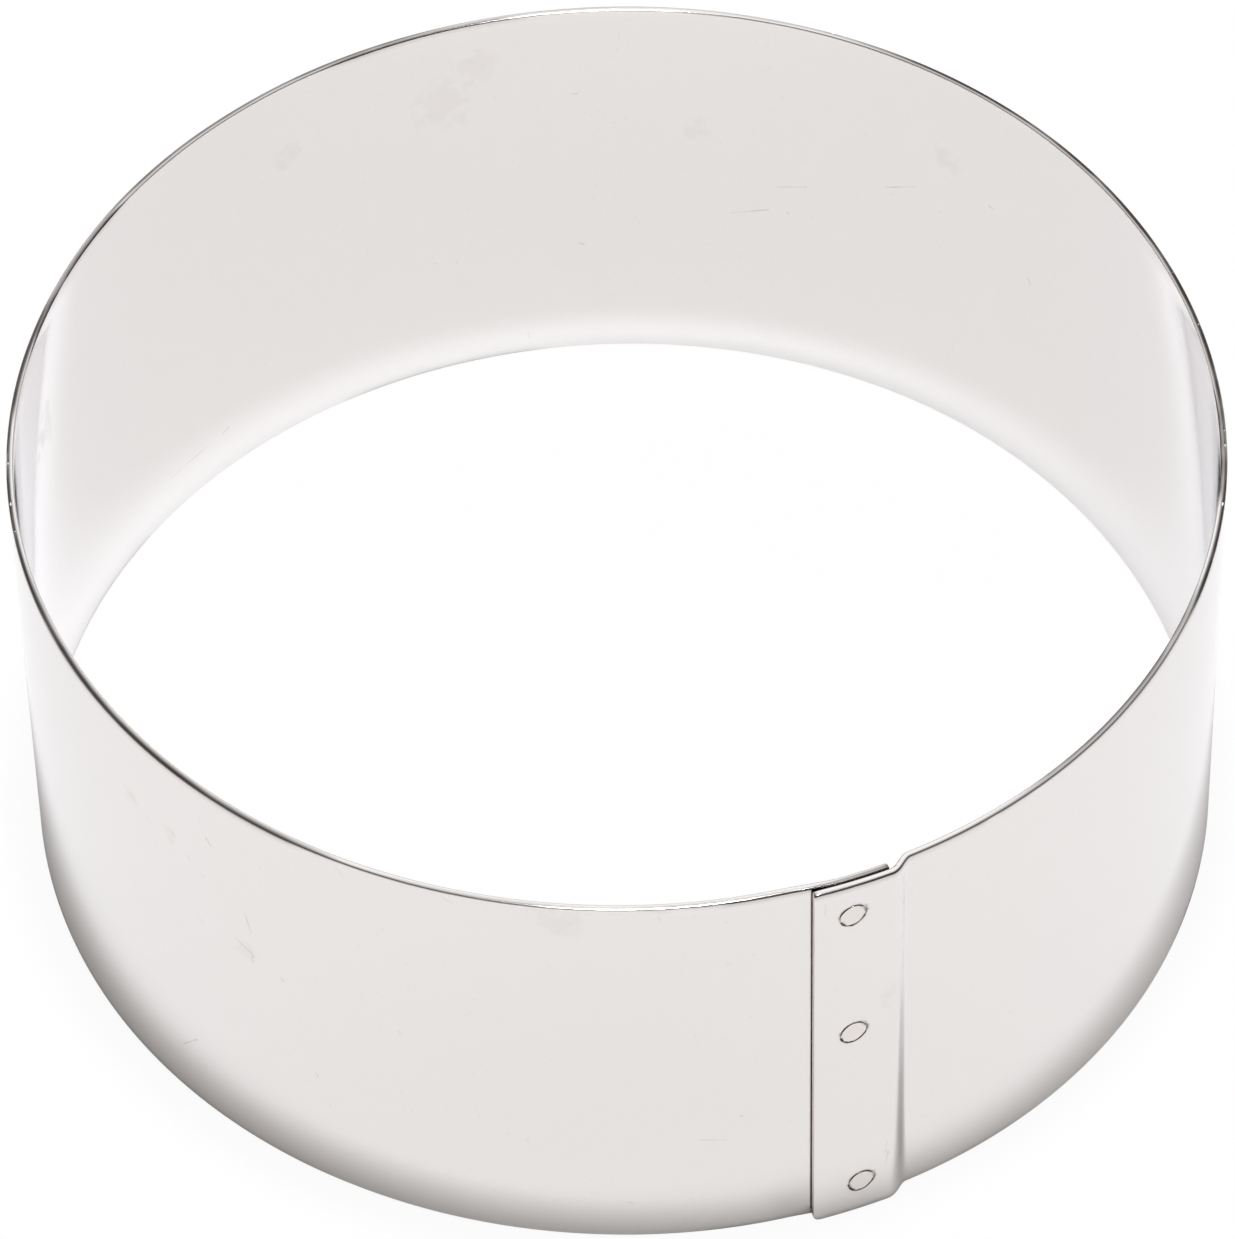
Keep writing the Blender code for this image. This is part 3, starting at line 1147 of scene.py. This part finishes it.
# A listed nick is its bearing in degrees and its ball's radius in millimetres.
TOP_NICKS = (
    (181.5, 0.26), (183.7, 0.20), (186.7, 0.30), (190.2, 0.22), (161.1, 0.24), (349.7, 0.32), (357.2, 0.26),
    (359.1, 0.22),
)
NICK_SEED = 7
NICK_COUNT = 12
NICK_BEARINGS = (0, 280)
NICK_RADII = (0.14, 0.24)
NICK_DEPTH_SHARE = 0.35
NICK_STRETCH = 1.6
STRIP_SHARP_ANGLE = math.radians(35)


def hole_rings(node, turn):
    hole = HOLE_RADIUS + out_of_round(node, turn)
    return [(hole + LIP + OVERRUN, -OVERRUN), (hole + LIP, 0.0), (hole, LIP)]


def all_nicks():
    """The listed nicks in the top rim, and a few more at random bearings in both rims."""
    chance = random.Random(NICK_SEED)
    more = [
        (chance.choice(("top", "bottom")), chance.uniform(*NICK_BEARINGS), chance.uniform(*NICK_RADII))
        for _ in range(NICK_COUNT)
    ]
    return [("top", *nick) for nick in TOP_NICKS] + more


def nick_cutter(rim, degrees, size):
    shape = bmesh.new()
    bmesh.ops.create_icosphere(shape, subdivisions=2, radius=size * MM)
    above = size * (1 - NICK_DEPTH_SHARE)
    height = BAND_HIGH[2] / MM + above if rim == "top" else BAND_LOW[2] / MM - above
    place = Matrix.Translation(on_wall("rim", degrees, height))
    turn = Matrix.Rotation(math.radians(degrees), 4, "Z")
    shape.transform(place @ turn @ Matrix.Diagonal((1.0, NICK_STRETCH, 1.0, 1.0)))
    return as_mesh(shape, "nick")


def joined_cutters():
    """All the cutters in one mesh. A hole's wall gets the strip's own steel, and a nick's the fresh steel."""
    shape = bmesh.new()
    for node in WELD_NODES:
        shape.from_mesh(turned_mesh(node, "hole", -OVERRUN, hole_rings))
    holes = len(shape.faces)
    for nick in all_nicks():
        shape.from_mesh(nick_cutter(*nick))
    for place, face in enumerate(shape.faces):
        face.material_index = int(place >= holes)
    mesh = as_mesh(shape, "cutters")
    mesh.materials.append(BRIGHT_STEEL)
    mesh.materials.append(FRESH_STEEL)
    return add_object("cutters", mesh)


def cut_from(piece, cutters):
    """The piece less the cutters, as a plain mesh with its sharp edges marked."""
    boolean = piece.modifiers.new("cut", "BOOLEAN")
    boolean.operation = "DIFFERENCE"
    boolean.solver = "EXACT"
    boolean.material_mode = "TRANSFER"
    boolean.object = cutters
    name = piece.name
    done = plain_copy(piece, name + "_cut")
    done.name = done.data.name = name
    bpy.data.objects.remove(cutters, do_unlink=True)
    smooth(done.data, STRIP_SHARP_ANGLE)
    return done


strip = cut_from(strip, joined_cutters())
print(size_text(strip))

# %% [markdown]
# ## Floor, lamp and room
#
# The ring stands on white paper, with a small softbox high above it. Outside, the wall shades the paper
# beside it, inside, it throws light on it, and the bright steel mirrors both. Light thrown by metal on paper
# is a caustic, which a short render mostly loses, so the paper is itself a little lighter along the foot
# inside and darker along the foot outside, most of all at the left front. The room is pale up to 28 degrees
# above the horizon and grey from 38 degrees up, and it glows at the back, where a flat rim mirrors it. The
# paper curls up far away, as a studio's does, so that no view looks past its edge.

# %% Paper floor
PAPER_SIDES = 64
PAPER_PROFILE = ((1.5, 0.0), (1.9, 0.0), (2.1, 0.05), (2.25, 0.2), (2.3, 0.5))
PAPER_GREY = (0.76, 0.76, 0.76, 1)
LIT_PAPER = (0.965, 0.98, 1.0, 1)
SHADED_PAPER = (0.53, 0.512, 0.49, 1)
FOOT_RADIUS = RADIUS - SHEET / 2
LIT_REACH = 6.5 * MM
SHADED_REACH = 5.2 * MM
SHADE_ALL_ROUND = 0.67
SHADE_TIGHTNESS = 6
SHADE_BEARING = math.radians(217)
SHADE_DIRECTION = (math.cos(SHADE_BEARING), math.sin(SHADE_BEARING), 0.0)
SHARE_WHITE_TO_CAMERA = 0.94
SHARE_WHITE_IN_GLOSS = 0.10


def paper_tone(tree):
    """Paper that is lighter along the foot inside the ring, and darker along the foot outside it."""
    across = made(tree, "ShaderNodeTexCoord", output="Object").vector("MULTIPLY", LEVEL)
    past_foot = across.vector("LENGTH") - FOOT_RADIUS
    outside = past_foot.math("GREATER_THAN", 0)
    facing = across.vector("NORMALIZE").vector("DOT_PRODUCT", SHADE_DIRECTION).math("MAXIMUM", 0)
    depth = SHADE_ALL_ROUND + (1 - SHADE_ALL_ROUND) * facing.math("POWER", SHADE_TIGHTNESS)
    lit = past_foot.rise(-LIT_REACH, 0) * (1 - outside)
    shaded = past_foot.rise(SHADED_REACH, 0) * outside * depth
    return shaded.mix(lit.mix(PAPER_GREY, LIT_PAPER), SHADED_PAPER)


def paper_material():
    """Nearly white to the camera, a little white in the steel, and plain paper to all other light."""
    material = bpy.data.materials.new("paper")
    material.use_nodes = True
    tree = material.node_tree
    tree.nodes.clear()
    paper = made(tree, "ShaderNodeBsdfDiffuse", {"Color": paper_tone(tree)})
    white = made(tree, "ShaderNodeEmission", {"Color": (1, 1, 1, 1), "Strength": 1.0})
    rays = ("Camera", "Transmission", "Glossy")
    seen, passed, glossy = (made(tree, "ShaderNodeLightPath", output=f"Is {ray} Ray") for ray in rays)
    share = (seen + passed) * SHARE_WHITE_TO_CAMERA + glossy * SHARE_WHITE_IN_GLOSS
    mix = made(tree, "ShaderNodeMixShader", {0: share, 1: paper, 2: white})
    add_node(tree, "ShaderNodeOutputMaterial", {"Surface": mix})
    return material


def add_floor():
    shape = bmesh.new()
    turns = [math.tau * side / PAPER_SIDES for side in range(PAPER_SIDES)]
    rings = [
        [shape.verts.new(turned(radius, turn, height)) for turn in turns] for radius, height in PAPER_PROFILE
    ]
    shape.faces.new(rings[0])
    for inner, outer in zip(rings, rings[1:]):
        for side in range(PAPER_SIDES):
            after = (side + 1) % PAPER_SIDES
            shape.faces.new((inner[side], outer[side], outer[after], inner[after]))
    mesh = as_mesh(shape, "floor")
    mesh.materials.append(paper_material())
    floor = add_object("floor", mesh)
    return floor


floor = add_floor()
print("floor faces:", len(floor.data.polygons))

# %% Softbox and room
SOFTBOX_PLACE = (0.03, -0.01, 2.0)
SOFTBOX_SIDE = 0.3
SOFTBOX_POWER = 39.5
ROOM_GREY = (0.127, 0.12, 0.114, 1)
HORIZON_WHITE = (0.55, 0.55, 0.555, 1)
HORIZON_FADE = (0.62, 0.47)
GLOW_WHITE = (1.25, 1.25, 1.25, 1)
GLOW_DIRECTION = (0.0, 0.66, 0.75)
GLOW_TIGHTNESS = 14.0


def add_softbox():
    """A square area lamp that faces the middle of the ring's foot."""
    data = bpy.data.lights.new("overhead_softbox", "AREA")
    data.shape = "RECTANGLE"
    data.size = data.size_y = SOFTBOX_SIDE
    data.energy = SOFTBOX_POWER
    lamp = add_object("overhead_softbox", data)
    facing = (-Vector(SOFTBOX_PLACE)).to_track_quat("-Z", "Y").to_matrix().to_4x4()
    lamp.matrix_world = Matrix.Translation(SOFTBOX_PLACE) @ facing
    return lamp


def add_room():
    """A grey room whose back wall glows, brightest in the direction that a flat rim mirrors."""
    room = bpy.data.worlds.new("room")
    room.use_nodes = True
    tree = room.node_tree
    direction = made(tree, "ShaderNodeTexCoord", output="Generated")
    facing = direction.vector("DOT_PRODUCT", GLOW_DIRECTION).math("MAXIMUM", 0)
    pale = direction.parts()[2].rise(*HORIZON_FADE).mix(ROOM_GREY, HORIZON_WHITE)
    glow = facing.math("POWER", GLOW_TIGHTNESS).mix(pale, GLOW_WHITE)
    fill(tree.nodes["Background"], {"Color": glow})
    bpy.context.scene.world = room


softbox = add_softbox()
add_room()
bpy.context.scene.view_settings.view_transform = "Standard"
print("lamp:", softbox.name)

# %% [markdown]
# ## Putting the pieces on their body
#
# Each piece moves with the ring's one body, because nothing on it moves, and the measured part that it
# stands for is hidden.

# %% Riding and hiding
pieces = {"band": strip, **spot_welds}
for node, piece in pieces.items():
    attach(piece, "root")
    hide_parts(node)
print("pieces:", ", ".join(sorted(piece.name for piece in pieces.values())))
